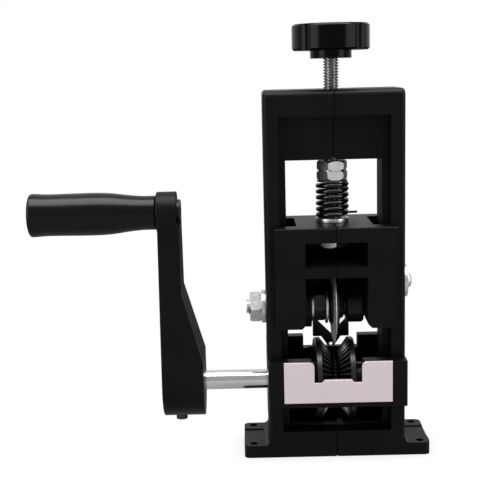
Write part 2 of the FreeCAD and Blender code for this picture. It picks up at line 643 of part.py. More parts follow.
def make_rear_guide():
    block = box(-HALF_W, HALF_W, HALF_D, HALF_D + GUIDE_T, REAR_GUIDE_Z0, REAR_GUIDE_Z1)
    block = round_uprights(block, 1.2,
                           lambda e: abs(e.BoundBox.YMin - HALF_D - GUIDE_T) < 1e-6)
    step_half = RIM_X
    block = block.cut(box(-step_half, step_half, HALF_D - 1, HALF_D + REAR_LEDGE_D,
                          REAR_LEDGE_Z, REAR_GUIDE_Z1 + 1))
    block = block.cut(box(-REAR_NOTCH_W / 2, REAR_NOTCH_W / 2, HALF_D - 1, HALF_D + GUIDE_T + 1,
                          REAR_NOTCH_Z, REAR_GUIDE_Z1 + 1))
    block = block.cut(roller_pocket(1))
    bore_r = SCREW_HEAD_D / 2 + SCREW_FIT
    for side in (-1, 1):
        block = block.cut(guide_bolt_hole(side, HALF_D - 1, BOLT_HEAD_Y + 1))
        block = block.cut(cyl_y(bore_r, BOLT_HEAD_Y - SCREW_HEAD_H, BOLT_HEAD_Y + 1,
                                side * GUIDE_BOLT_X, GUIDE_BOLT_Z))
    return block


def make_guide_bolts():
    bolts = []
    for side in (-1, 1):
        x = side * GUIDE_BOLT_X
        head_y = BOLT_HEAD_Y - SCREW_HEAD_H
        shank = cyl_y(SCREW_D / 2, BOLT_TIP_Y, head_y, x, GUIDE_BOLT_Z)
        head = cyl_y(SCREW_HEAD_D / 2, head_y, BOLT_HEAD_Y - 0.1, x, GUIDE_BOLT_Z)
        socket = prism([V(x + a, BOLT_HEAD_Y, GUIDE_BOLT_Z + b) for a, b in hexagon(3.0, 0)],
                       V(0, -2.2, 0))
        bolts.append(shank.fuse(head).cut(socket))
    return Part.makeCompound(bolts)


# ---- carriage -------------------------------------------------------------------------------
CAR_SCREW_HEAD_X = CAR_W / 2 - 0.3
CAR_SCREW_TIP_X = -CAR_W / 2 + 6.0
CAR_SCREW_Y = CAR_D / 2 - CAR_FACE_T / 2
CAR_SCREWS = [(-CAR_SCREW_Y, CAR_Z1 - 3.8), (-CAR_SCREW_Y, (OPEN_TOP + WIN_Z0) / 2 - 1.2),
              (CAR_SCREW_Y, CAR_Z1 - 3.8), (CAR_SCREW_Y, AXLE_Z + BLADE_R + 6.0)]


def carriage_body():
    half_w = CAR_W / 2
    half_d = CAR_D / 2
    face_y = half_d - CAR_FACE_T
    web_d = CAR_WEB_D / 2
    tongue_x = RIM_X - SLIDE_GAP
    body = box(-CAR_WEB_W / 2, CAR_WEB_W / 2, -web_d, web_d, CAR_Z0, CAR_Z1)
    for side in (-1, 1):
        y0, y1 = sorted((side * face_y, side * half_d))
        body = body.fuse(box(-half_w, half_w, y0, y1, CAR_Z0, CAR_Z1))
        y0, y1 = sorted((side * web_d, side * face_y))
        body = body.fuse(box(-tongue_x, tongue_x, y0, y1, CAR_Z0, CAR_Z1))
    return body.removeSplitter()


def carriage_openings():
    half = OPEN_W / 2
    front = -CAR_D / 2 - 1
    opening = box(-half, half, front, POCKET_BACK_Y, CAR_Z0 - 1, OPEN_TOP)
    flare = OPEN_CHAMFER
    opening = opening.fuse(prism([V(-half - flare, front, CAR_Z0), V(half + flare, front, CAR_Z0),
                                  V(half, front, CAR_Z0 + flare), V(-half, front, CAR_Z0 + flare)],
                                 V(0, POCKET_BACK_Y - front, 0)))
    slot_back = BLADE_R + BLADE_GAP
    blade_slot = box(-BLADE_SLOT_W / 2, BLADE_SLOT_W / 2, -CAR_WEB_D / 2, slot_back,
                     CAR_Z0 - 1, AXLE_Z + slot_back)
    window = box(-half, half, front, POCKET_BACK_Y, WIN_Z0, WIN_Z1)
    face = -CAR_D / 2
    bevel = prism([V(-half, face, WIN_Z0 - WIN_BEVEL), V(-half, face, WIN_Z0 + 1),
                   V(-half, face + WIN_BEVEL * 3, WIN_Z0 + 1), V(-half, face + WIN_BEVEL * 3, WIN_Z0)],
                  V(OPEN_W, 0, 0))
    rib = box(-half, half, RIB_FRONT_Y, POCKET_BACK_Y + 1, RIB_Z - RIB_T, RIB_Z)
    shoe = box(-SHOE_W / 2 - SLIDE_GAP / 3, SHOE_W / 2 + SLIDE_GAP / 3, SHOE_Y - SLIDE_GAP / 3,
               SHOE_Y + SHOE_T + SLIDE_GAP / 3, CAR_Z0 - 1, SHOE_TOP)
    return opening.fuse(blade_slot).fuse(window.fuse(bevel).cut(rib)).fuse(shoe)


def make_carriage():
    body = carriage_body().cut(carriage_openings())
    body = body.fuse(cyl_x(AXLE_BOSS_R, -OPEN_W / 2 - 1, AXLE_BOSS_X, z=AXLE_Z))
    body = body.cut(cyl_z(CLEAR_R, WIN_Z1 - 1, CAR_Z1 + 1))
    body = body.cut(cyl_x(NUT_BORE_R, -CAR_WEB_W, AXLE_TIP_X, z=AXLE_Z))
    body = body.cut(cyl_x(STUD_SHANK_R, OPEN_W / 2 - 1, CAR_WEB_W, z=STUD_Z))
    for y, z in CAR_SCREWS:
        body = body.cut(cap_screw_hole_x(CAR_W / 2 + 1, CAR_SCREW_HEAD_X, CAR_SCREW_TIP_X, y, z,
                                         SMALL_SCREW_D, SMALL_HEAD_D))
    top_edges = [e for e in body.Edges if abs(e.BoundBox.ZMin - CAR_Z1) < 1e-6
                 and e.BoundBox.XLength > CAR_W - 1e-3]
    body = body.makeFillet(0.8, top_edges)
    body = body.cut(seam_groove(CAR_D / 2, CAR_Z0 - 1, CAR_Z1 + 1))
    body = body.cut(box(-SEAM_GROOVE_W / 2, SEAM_GROOVE_W / 2, -CAR_D, CAR_D,
                        CAR_Z1 - SEAM_GROOVE_D, CAR_Z1 + 1))
    big = CAR_W + CAR_Z1
    left = body.common(box(-big, 0, -big, big, -1, big))
    right = body.common(box(0, big, -big, big, -1, big))
    return left.removeSplitter(), right.removeSplitter()


def make_carriage_screws():
    return Part.makeCompound([cap_screw_x(CAR_SCREW_HEAD_X, CAR_SCREW_TIP_X, y, z,
                                          SMALL_SCREW_D, SMALL_HEAD_D) for y, z in CAR_SCREWS])


def make_shoe():
    half = SHOE_W / 2
    arm = half - SHOE_ARM_W
    tongue = SHOE_TONGUE_W / 2
    tip = SHOE_TIP_W / 2
    top = SHOE_TOP - 0.1
    outline = [(-half, top), (-half, SHOE_SHOULDER_Z), (-tongue, SHOE_SHOULDER_Z),
               (-tip, SHOE_TIP_Z), (tip, SHOE_TIP_Z), (tongue, SHOE_SHOULDER_Z),
               (half, SHOE_SHOULDER_Z), (half, top), (arm, top), (arm, SHOE_NOTCH_TOP_Z),
               (0, SHOE_NOTCH_Z), (-arm, SHOE_NOTCH_TOP_Z), (-arm, top)]
    shoe = prism([V(x, SHOE_Y, z) for x, z in outline], V(0, SHOE_T, 0))
    slot_r = SHOE_SLOT_W / 2
    slot_top = SHOE_TIP_Z + SHOE_SLOT_H - slot_r
    slot = box(-slot_r, slot_r, SHOE_Y - 1, SHOE_Y + SHOE_T + 1, SHOE_TIP_Z - 1, slot_top)
    return shoe.cut(slot.fuse(cyl_y(slot_r, SHOE_Y - 1, SHOE_Y + SHOE_T + 1, 0, slot_top)))


# ---- blade ----------------------------------------------------------------------------------
AXLE_TIP_X = CAR_WEB_W / 2 - 1.0
OUTER_WASHER_X = -HALF_W - SLIDE_GAP
OUTER_NUT_X = OUTER_WASHER_X - OUTER_WASHER_T
STUD_WASHER_X = HALF_W + SLIDE_GAP / 2
STUD_TIP_X = OPEN_W / 2 + 0.2


def make_axle():
    rod = cyl_x(THREAD_R, AXLE_END_X, AXLE_TIP_X, z=AXLE_Z)
    return rod.makeChamfer(0.7, [rod.Edges[0], rod.Edges[2]])


def make_stud():
    """Screw with a low domed head outside the frame; its shank slides in the frame's slot."""
    seat = STUD_WASHER_X + STUD_WASHER_T
    shank = cyl_x(STUD_SHANK_R, STUD_TIP_X, seat, z=STUD_Z)
    head = cyl_x(STUD_HEAD_R, seat, seat + STUD_HEAD_H, z=STUD_Z)
    rim = [e for e in head.Edges if e.Closed and e.BoundBox.XMin > seat + 0.01]
    head = head.makeFillet(STUD_HEAD_H * 0.8, rim)
    return shank.fuse(head).removeSplitter()


def revolve_about_axle(outline):
    """Ring about the blade axle from (x, radius) points."""
    points = [V(x, 0, r) for x, r in outline]
    ring = Part.Face(Part.makePolygon(points + [points[0]])).revolve(V(0, 0, 0), V(1, 0, 0), 360)
    ring.translate(V(0, 0, AXLE_Z))
    return ring


def make_blade():
    half = BLADE_T / 2
    edge = BLADE_EDGE_T / 2
    bevel_r = BLADE_R - BLADE_BEVEL
    bore = HUB_R + 0.02
    return revolve_about_axle([(-half, bore), (-half, bevel_r), (-edge, BLADE_R), (edge, BLADE_R),
                               (half, bevel_r), (half, bore)])


def make_blade_flange_left():
    x1 = -BLADE_T / 2
    x0 = x1 - FLANGE_T_L
    return revolve_about_axle([(x0, HUB_R + 0.02), (x0, FLANGE_R_L - 1.0), (x0 + 0.6, FLANGE_R_L),
                               (x1, FLANGE_R_L), (x1, HUB_R + 0.02)])


def make_blade_flange_right():
    """Flange with the hub that the blade and the left flange sit on."""
    bore = THREAD_R + RUN_FIT
    half = BLADE_T / 2
    hub_end = -half - FLANGE_T_L
    x1 = half + FLANGE_T_R
    x2 = x1 + DOME_T
    return revolve_about_axle([(hub_end, bore), (hub_end, HUB_R), (half, HUB_R), (half, FLANGE_R_R),
                               (x1 - 0.6, FLANGE_R_R), (x1, FLANGE_R_R - 1.5), (x1, DOME_R),
                               (x2, DOME_R - 1.5), (x2, bore)])


def make_blade_sleeve():
    bore = THREAD_R + RUN_FIT
    x0 = BLADE_T / 2 + FLANGE_T_R + DOME_T
    groove = 0.8
    return revolve_about_axle([(x0, bore), (x0, DOME_R - 2.5), (SLEEVE_X0, DOME_R - 2.5),
                               (SLEEVE_X0, SLEEVE_R - groove), (SLEEVE_X0 + groove, SLEEVE_R),
                               (SLEEVE_X1 - groove, SLEEVE_R), (SLEEVE_X1, SLEEVE_R - groove),
                               (SLEEVE_X1, bore)])


# ---- screw ----------------------------------------------------------------------------------
def make_rod():
    rod = cyl_z(THREAD_R, ROD_END_Z, KNOB_BORE_TOP - 0.5)
    return rod.makeChamfer(0.7, [rod.Edges[0], rod.Edges[2]])


def make_knob():
    body = cyl_z(KNOB_R, KNOB_Z0, KNOB_Z1)
    rims = [e for e in body.Edges if e.Closed and e.BoundBox.XLength > KNOB_R]
    body = body.makeChamfer(KNOB_CHAMFER, rims)
    centre = KNOB_R - KNOB_FLUTE_DEPTH + KNOB_FLUTE_R
    for i in range(KNOB_FLUTES):
        angle = 2 * math.pi * (i + 0.5) / KNOB_FLUTES
        body = body.cut(cyl_z(KNOB_FLUTE_R, KNOB_Z0 - 1, KNOB_Z1 + 1,
                              centre * math.sin(angle), -centre * math.cos(angle)))
    hub = cyl_z(KNOB_HUB_R, KNOB_HUB_Z, KNOB_Z0 + 0.5)
    body = body.fuse(hub)
    body = body.cut(cyl_z(THREAD_R, KNOB_HUB_Z - 1, KNOB_BORE_TOP))
    body = body.cut(prism([V(x, y, KNOB_HUB_Z) for x, y in hexagon(INSERT_AF, 0)],
                          V(0, 0, INSERT_H)))
    return body.removeSplitter()


def make_insert():
    blank = prism([V(x, y, KNOB_HUB_Z) for x, y in hexagon(INSERT_AF, 0)], V(0, 0, INSERT_H))
    return blank.cut(cyl_z(THREAD_R, KNOB_HUB_Z - 1, KNOB_HUB_Z + INSERT_H + 1))


def washer_z(radius, z0, z1):
    return cyl_z(radius, z0, z1).cut(cyl_z(CLEAR_R - 0.2, z0 - 1, z1 + 1))


def make_spring():
    wire_r = SPRING_WIRE / 2
    coil_r = SPRING_D / 2 - wire_r
    low = SPRING_Z0 + wire_r
    height = SPRING_Z1 - SPRING_Z0 - SPRING_WIRE
    helix = Part.makeHelix(height / SPRING_TURNS, height, coil_r)
    helix.translate(V(0, 0, low))
    section = Part.Wire(Part.makeCircle(wire_r, V(coil_r, 0, low), V(0, 1, 0)))
    path = Part.Wire(helix.Edges)
    return path.makePipeShell([section], True, True)


def export(name, shape):
    shape.exportStep("parts/" + name + ".step")


def main():
    os.makedirs("parts", exist_ok=True)
    frame_left, frame_right = make_frame()
    carriage_left, carriage_right = make_carriage()
    nodes = {
        "frame_left_half": frame_left,
        "frame_right_half": frame_right,
        "frame_screws": make_frame_screws(),
        "base_tie_bolt": cap_screw_x(FRAME_SCREW_X, FRAME_SCREW_TIP, 0, TIE_Z),
        "base_tie_nut": make_tie_nut(),
        "captive_nut": nut_z(CAPTIVE_Z, NUT_H, 30),
        "shaft_bush_left": make_bush(-1),
        "shaft_bush_right": make_bush(1),
        "guide_carrier": make_guide_carrier(),
        "front_plate": make_front_plate(),
        "plate_screws": make_plate_screws(),
        "rear_guide": make_rear_guide(),
        "guide_bolts": make_guide_bolts(),
        "drive_shaft": cyl_x(SHAFT_D / 2, SHAFT_X0, SHAFT_X1, z=SHAFT_Z),
        "feed_roller": make_roller(),
        "shaft_spacers": make_spacers(),
        "spacer_screws": Part.makeCompound([spacer_screw(-1), spacer_screw(1)]),
        "crank_arm": make_arm(),
        "arm_set_screw": make_arm_screw(),
        "grip_spindle": make_spindle(),
        "handle_grip": make_grip(),
        "spring_washer_upper": washer_z(UPPER_WASHER_D / 2, UPPER_WASHER_Z, THRUST_NUT_Z - SIDE_GAP),
        "compression_spring": make_spring(),
        "threaded_rod": make_rod(),
        "knob": make_knob(),
        "knob_insert": make_insert(),
        "thrust_nut": nut_z(THRUST_NUT_Z, JAM_H, 10),
        "lock_nut": nut_z(LOCK_NUT_Z, JAM_H, 12),
        "retaining_nut": nut_z(WIN_Z1 - RETAIN_NUT_H - SIDE_GAP, RETAIN_NUT_H, 38),
        "carriage_left_half": carriage_left,
        "carriage_right_half": carriage_right,
        "carriage_screws": make_carriage_screws(),
        "spring_washer_lower": washer_z(WASHER_D / 2, CAR_Z1, CAR_Z1 + LOWER_WASHER_T),
        "cable_shoe": make_shoe(),
        "blade_axle": make_axle(),
        "axle_outer_washer": washer_x(WASHER_D / 2, OUTER_NUT_X, OUTER_WASHER_X, AXLE_Z),
        "axle_outer_nut": nut_x(OUTER_NUT_X - OUTER_NUT_H, OUTER_NUT_H, AXLE_Z, 30),
        "axle_spacer_washer": washer_x(SPACER_WASHER_R, AXLE_BOSS_X, INNER_NUT_X0, AXLE_Z),
        "axle_inner_nut": nut_x(INNER_NUT_X0, INNER_NUT_H, AXLE_Z, 38),
        "axle_inner_washer": washer_x(INNER_WASHER_R, INNER_NUT_X0 + INNER_NUT_H,
                                      INNER_NUT_X0 + INNER_NUT_H + INNER_WASHER_T, AXLE_Z),
        "side_stud": make_stud(),
        "stud_washer": washer_x(WASHER_D / 2, STUD_WASHER_X, STUD_WASHER_X + STUD_WASHER_T, STUD_Z,
                                STUD_SHANK_R),
        "cutting_blade": make_blade(),
        "blade_flange_left": make_blade_flange_left(),
        "blade_flange_right": make_blade_flange_right(),
        "blade_sleeve": make_blade_sleeve(),
    }
    for name, shape in nodes.items():
        export(name, shape)
        print(name, len(shape.Solids), shape.isValid(), round(shape.Volume, 1))


main()
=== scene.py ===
"""Looks of a hand-cranked cable stripping machine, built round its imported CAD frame.

Lengths are metres in the frame of the part: X along the drive shaft, Y away from the operator,
Z up from the bench. MM turns the few sizes that are given in millimetres into metres.
"""
import math

import bmesh
import bpy
from mathutils import Matrix, Vector


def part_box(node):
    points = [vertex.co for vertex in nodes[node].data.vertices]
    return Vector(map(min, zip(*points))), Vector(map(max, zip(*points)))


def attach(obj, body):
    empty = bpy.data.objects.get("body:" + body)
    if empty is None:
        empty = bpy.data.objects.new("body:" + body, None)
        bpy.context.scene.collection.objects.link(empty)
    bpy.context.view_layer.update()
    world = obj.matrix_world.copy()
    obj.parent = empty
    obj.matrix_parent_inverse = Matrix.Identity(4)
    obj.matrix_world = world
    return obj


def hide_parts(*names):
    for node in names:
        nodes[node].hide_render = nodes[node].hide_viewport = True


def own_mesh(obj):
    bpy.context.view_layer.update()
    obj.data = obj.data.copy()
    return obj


MM = 0.001
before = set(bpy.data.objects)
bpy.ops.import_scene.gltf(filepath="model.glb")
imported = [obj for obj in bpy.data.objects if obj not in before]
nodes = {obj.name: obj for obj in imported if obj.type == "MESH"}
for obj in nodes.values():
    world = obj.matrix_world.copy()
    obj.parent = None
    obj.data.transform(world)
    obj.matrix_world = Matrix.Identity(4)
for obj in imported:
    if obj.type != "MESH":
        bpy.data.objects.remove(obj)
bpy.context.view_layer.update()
scene = bpy.context.scene

# ---- sizes that the frame does not carry ------------------------------------------------------
THREAD_PITCH = 1.411 * MM        # 5/16-18 UNC
THREAD_DEPTH = 0.80 * MM
THREAD_CHAMFER = 0.7 * MM
THREAD_COLUMNS = 40
THREAD_FORM = ((0.0, 0.0), (0.10, 0.0), (0.47, 1.0), (0.63, 1.0), (1.0, 0.0))  # place, depth
SPRING_WIRE_R = 1.2 * MM
SPRING_TURNS = 5.75
SPRING_CLOSED_TURNS = 0.6        # turns that lie flat at each end
SPRING_CLOSED_EASE = 1.6         # how late a flat turn starts to rise
SPRING_STEPS = 44                # points on each turn
SPRING_TAIL = 13.5 * MM          # straight end of the wire behind the coil
SPRING_TAIL_R = 0.62 * MM
SPRING_TAIL_RISE = 0.2 * MM
SPRING_TAIL_SHARES = (1.0, 0.66, 0.33, 0.12)
WIRE_SIDES = 20
ROLLER_RIDGES = 42
ROLLER_RIDGE_COLUMNS = 8         # points on each ridge
ROLLER_FLANK_STEPS = 7
ROLLER_GROOVE = 1.4 * MM
ROLLER_GROOVE_START = 6          # the groove is at full depth after 1/6 of the flank
ROLLER_GROOVE_FADE = 0.62        # share of its depth that it loses towards the valley
ROLLER_GROOVE_SLOPE = 1.25       # above 1, the bottom of a groove is flat
ROLLER_RIM = 3.0 * MM
ROLLER_VALLEY_R = 11.8 * MM
ROLLER_VALLEY_HALF = 0.35 * MM
ROLLER_BREAK = 0.6 * MM
# painted highlight on the roller: its crests and rims are painted lighter in place of the light
# they catch
CREST_BRIGHT = 0.07              # half-width of the painted highlight on a crest, in ridges
CREST_DARK = 0.15                # where the painted highlight on a crest has faded out
CREST_HIGHLIGHT_FROM_X = 2.0 * MM     # the valley gets no painted highlight
RIM_HIGHLIGHT = 0.15
HIGHLIGHT_LEVEL = 0.24
GRIP_END_R = 1.4 * MM
GRIP_WAIST_R = 10.8 * MM
GRIP_SWELL_R = 11.0 * MM
GRIP_NECK_R = 8.8 * MM
GRIP_BORE_R = 4.1 * MM
GRIP_BORE_END = 8 * MM
GRIP_NECK_BREAK = 0.5 * MM
GRIP_COLUMNS = 96
GRIP_STEPS = 60
GRIP_END_STEPS = 6
GRIP_SIDES = ((0.14, GRIP_WAIST_R), (0.5, GRIP_SWELL_R), (0.64, GRIP_SWELL_R - 0.35 * MM),
              (0.8, GRIP_NECK_R + 0.55 * MM), (0.9, GRIP_NECK_R), (1.0, GRIP_NECK_R))
MERGE = 1e-7                     # points nearer than this are one
SHARP_ANGLE = 38                 # degrees; sharper edges are not shaded smooth
WELD_DISTANCE = 1e-6
FLAT_ANGLE = 0.6                 # degrees; faces this near to one plane are joined
BEVEL_ANGLE = 29                 # degrees; sharper edges are rounded
BEVEL_SEGMENTS = 2
NORMAL_WEIGHT = 80
NOISE_LOW, NOISE_HIGH = 0.3, 0.7  # the part of a noise value's range that is used
BUMP_DISTANCE = 0.1 * MM


# ---- materials --------------------------------------------------------------------------------
def link(tree, source, target):
    tree.links.new(source, target)


def fade_between(tree, value, places, levels, smooth=True):
    """Maps value, from one place to the other, onto levels."""
    node = tree.nodes.new("ShaderNodeMapRange")
    if smooth:
        node.interpolation_type = "SMOOTHSTEP"
    node.inputs["From Min"].default_value = places[0]
    node.inputs["From Max"].default_value = places[1]
    node.inputs["To Min"].default_value = levels[0]
    node.inputs["To Max"].default_value = levels[1]
    link(tree, value, node.inputs["Value"])
    return node.outputs["Result"]


def noise(tree, coords, scale, detail=2.0, stretch=(1, 1, 1)):
    """Noise texture in object space, with its coordinates stretched along each axis."""
    mapping = tree.nodes.new("ShaderNodeMapping")
    mapping.inputs["Scale"].default_value = stretch
    link(tree, coords, mapping.inputs["Vector"])
    node = tree.nodes.new("ShaderNodeTexNoise")
    node.inputs["Scale"].default_value = scale
    node.inputs["Detail"].default_value = detail
    link(tree, mapping.outputs["Vector"], node.inputs["Vector"])
    return node.outputs["Fac"]


def spread(tree, value, low, high):
    """Maps a noise value onto a range of numbers."""
    return fade_between(tree, value, (NOISE_LOW, NOISE_HIGH), (low, high), False)


def tint(tree, value, dark, light):
    """Maps a noise value onto a range of colours."""
    node = tree.nodes.new("ShaderNodeValToRGB")
    node.color_ramp.elements[0].position = NOISE_LOW
    node.color_ramp.elements[1].position = NOISE_HIGH
    node.color_ramp.elements[0].color = (*dark, 1)
    node.color_ramp.elements[1].color = (*light, 1)
    link(tree, value, node.inputs["Fac"])
    return node.outputs["Color"]


def surface(name, dark, light, rough, metallic=0.0, patch=60.0, grain=2200.0, bump=0.05,
            stretch=(1, 1, 1), specular=0.5):
    """Procedural finish: patchy colour and roughness from broad noise, bump from fine grain."""
    made = bpy.data.materials.new(name)
    made.use_nodes = True
    tree = made.node_tree
    shader = tree.nodes["Principled BSDF"]
    coords = tree.nodes.new("ShaderNodeTexCoord").outputs["Object"]
    broad = noise(tree, coords, patch, 4.0)
    fine = noise(tree, coords, grain, 2.0, stretch)
    link(tree, tint(tree, broad, dark, light), shader.inputs["Base Color"])
    both = tree.nodes.new("ShaderNodeMath")
    both.operation = "ADD"
    halved = spread(tree, broad, rough[0] / 2, rough[1] / 2)
    link(tree, halved, both.inputs[0])
    link(tree, spread(tree, fine, rough[0] / 2, rough[1] / 2), both.inputs[1])
    link(tree, both.outputs["Value"], shader.inputs["Roughness"])
    relief = tree.nodes.new("ShaderNodeBump")
    relief.inputs["Strength"].default_value = bump
    relief.inputs["Distance"].default_value = BUMP_DISTANCE
    link(tree, fine, relief.inputs["Height"])
    link(tree, relief.outputs["Normal"], shader.inputs["Normal"])
    shader.inputs["Metallic"].default_value = metallic
    shader.inputs["Specular IOR Level"].default_value = specular
    return made


def grey(level):
    return (level, level, level)


FINISH = {
    "casting": surface("black_powder_coat", grey(0.0012), grey(0.0022), (0.36, 0.46),
                       patch=45.0, grain=1500.0, bump=0.20, specular=0.11),
    "blackened": surface("blackened_steel", grey(0.003), grey(0.006), (0.26, 0.38),
                         patch=90.0, grain=2600.0, bump=0.12, specular=0.2),
    "oxide": surface("oiled_black_oxide", grey(0.02), grey(0.05), (0.26, 0.38), metallic=0.6,
                     patch=160.0, grain=2600.0, bump=0.12),
    "zinc": surface("bright_zinc_plate", grey(0.54), grey(0.66), (0.26, 0.40), metallic=1.0,
                    patch=220.0, grain=2600.0, bump=0.10),
    "screw": surface("rolled_screw_steel", grey(0.24), grey(0.34), (0.22, 0.34), metallic=1.0,
                     patch=220.0, grain=2600.0, bump=0.10),
    "shaft": surface("ground_shaft_steel", grey(0.62), grey(0.72), (0.10, 0.17), metallic=1.0,
                     patch=120.0, grain=900.0, bump=0.08, stretch=(8.0, 0.3, 0.3)),
    "roller": surface("machined_roller_steel", grey(0.006), grey(0.012), (0.26, 0.36),
                      metallic=0.9, patch=140.0, grain=1800.0, bump=0.15,
                      stretch=(6.0, 0.4, 0.4)),
    "blade": surface("ground_tool_steel", grey(0.80), grey(0.88), (0.40, 0.50), metallic=1.0,
                     patch=180.0, grain=1600.0, bump=0.10, stretch=(6.0, 0.5, 0.5)),
    "plate": surface("pale_satin_plate", (0.496, 0.431, 0.464), (0.516, 0.448, 0.482),
                     (0.42, 0.55), patch=30.0, grain=2400.0, bump=0.12),
    "knob": surface("moulded_black_knob", grey(0.0006), grey(0.0010), (0.14, 0.20),
                    patch=80.0, grain=700.0, bump=0.035, specular=0.09),
    "grip": surface("moulded_black_grip", grey(0.0008), grey(0.0014), (0.20, 0.27),
                    patch=80.0, grain=500.0, bump=0.03, specular=0.19),
    "spring": surface("gloss_black_wire", grey(0.0015), grey(0.0025), (0.10, 0.16),
                      patch=200.0, grain=1500.0, bump=0.05, specular=0.45),
    "bronze": surface("sintered_bronze", (0.36, 0.24, 0.11), (0.48, 0.33, 0.16), (0.35, 0.5),
                      metallic=1.0, patch=200.0, grain=2400.0, bump=0.2),
}


def finish_with(piece, key):
    piece.data.materials.clear()
    piece.data.materials.append(FINISH[key])


def paint_crest_highlights(made, centre_z, rim_x):
    """Painted highlights: the crests and rims of the roller get a lighter base colour, over
    grooves that stay black.
    """
    tree = made.node_tree
    shader = tree.nodes["Principled BSDF"]
    place = tree.nodes.new("ShaderNodeSeparateXYZ")
    link(tree, tree.nodes.new("ShaderNodeTexCoord").outputs["Object"], place.inputs["Vector"])

    def maths(kind, first, second=0.0):
        node = tree.nodes.new("ShaderNodeMath")
        node.operation = kind
        for value, socket in ((first, node.inputs[0]), (second, node.inputs[1])):
            if isinstance(value, float):
                socket.default_value = value
            else:
                link(tree, value, socket)
        return node.outputs["Value"]

    height = maths("SUBTRACT", place.outputs["Z"], centre_z)
    angle = maths("ARCTAN2", place.outputs["Y"], height)
    turns = maths("MULTIPLY", angle, ROLLER_RIDGES / (2 * math.pi))
    off_crest = maths("PINGPONG", turns, 0.5)
    crest = fade_between(tree, off_crest, (CREST_BRIGHT, CREST_DARK), (1.0, 0.0), False)
    across = maths("ABSOLUTE", place.outputs["X"])
    outside = maths("GREATER_THAN", across, rim_x)
    flank = maths("SUBTRACT", maths("GREATER_THAN", across, CREST_HIGHLIGHT_FROM_X), outside)
    crests = maths("MULTIPLY", crest, flank)
    # painted highlight: crests and rims are mixed towards a light grey base colour
    painted_highlight = maths("MAXIMUM", crests, maths("MULTIPLY", outside, RIM_HIGHLIGHT))
    mix = tree.nodes.new("ShaderNodeMixRGB")
    plain = shader.inputs["Base Color"].links[0].from_socket
    link(tree, painted_highlight, mix.inputs["Fac"])
    link(tree, plain, mix.inputs["Color1"])
    mix.inputs["Color2"].default_value = (*grey(HIGHLIGHT_LEVEL), 1)
    link(tree, mix.outputs["Color"], shader.inputs["Base Color"])


# ---- mesh tools -------------------------------------------------------------------------------
def new_piece(name, bm, key, body, slot, *replaced):
    """Makes a shaded object from bm that rides on body and stands for CAD nodes."""
    bmesh.ops.remove_doubles(bm, verts=bm.verts, dist=MERGE)
    bmesh.ops.dissolve_degenerate(bm, dist=MERGE, edges=bm.edges)
    bmesh.ops.recalc_face_normals(bm, faces=bm.faces)
    mesh = bpy.data.meshes.new(name)
    bm.to_mesh(mesh)
    bm.free()
    mesh.shade_smooth()
    mesh.set_sharp_from_angle(angle=math.radians(SHARP_ANGLE))
    piece = bpy.data.objects.new(name, mesh)
    scene.collection.objects.link(piece)
    finish_with(piece, key)
    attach(piece, body)
    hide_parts(*replaced)
    return piece


def soften(name, key, width):
    """Finishes a CAD node: small rounds on its edges, which catch the light, and its material."""
    piece = nodes[name]
    weld = piece.modifiers.new("weld", "WELD")
    weld.merge_threshold = WELD_DISTANCE
    flat = piece.modifiers.new("flat", "DECIMATE")
    flat.decimate_type = "DISSOLVE"
    flat.angle_limit = math.radians(FLAT_ANGLE)
    bevel = piece.modifiers.new("round", "BEVEL")
    bevel.limit_method = "ANGLE"
    bevel.angle_limit = math.radians(BEVEL_ANGLE)
    bevel.width = width
    bevel.segments = BEVEL_SEGMENTS
    bevel.use_clamp_overlap = True
    bevel.miter_outer = "MITER_ARC"
    normals = piece.modifiers.new("normals", "WEIGHTED_NORMAL")
    normals.keep_sharp = True
    normals.weight = NORMAL_WEIGHT
    finish_with(piece, key)


def lathe(outline, columns):
    """Solid of revolution about +Z from (radius, height) points that start and end on the axis."""
    bm = bmesh.new()
    rings = []
    for radius, height in outline:
        if radius == 0:
            rings.append([bm.verts.new((0, 0, height))])
            continue
        rings.append([bm.verts.new((radius * math.cos(2 * math.pi * i / columns),
                                    radius * math.sin(2 * math.pi * i / columns), height))
                      for i in range(columns)])
    for a, b in zip(rings, rings[1:]):
        for i in range(columns):
            j = (i + 1) % columns
            corners = [a[i % len(a)], a[j % len(a)], b[j % len(b)], b[i % len(b)]]
            unique = list(dict.fromkeys(corners))
            if len(unique) > 2:
                bm.faces.new(unique)
    return bm


def along_x(bm, origin):
    """Turns a mesh made along +Z so that it runs along +X from origin."""
    turn = Matrix.Rotation(math.radians(90), 4, "Y")
    bm.transform(Matrix.Translation(origin) @ turn)
    return bm


def thread_radius(phase, radius):
    """Radius of a 60 degree thread, as a share of the pitch past its crest."""
    t = phase % 1.0
    for (t0, d0), (t1, d1) in zip(THREAD_FORM, THREAD_FORM[1:]):
        if t <= t1:
            return radius - THREAD_DEPTH * (d0 + (d1 - d0) * (t - t0) / (t1 - t0))
    return radius


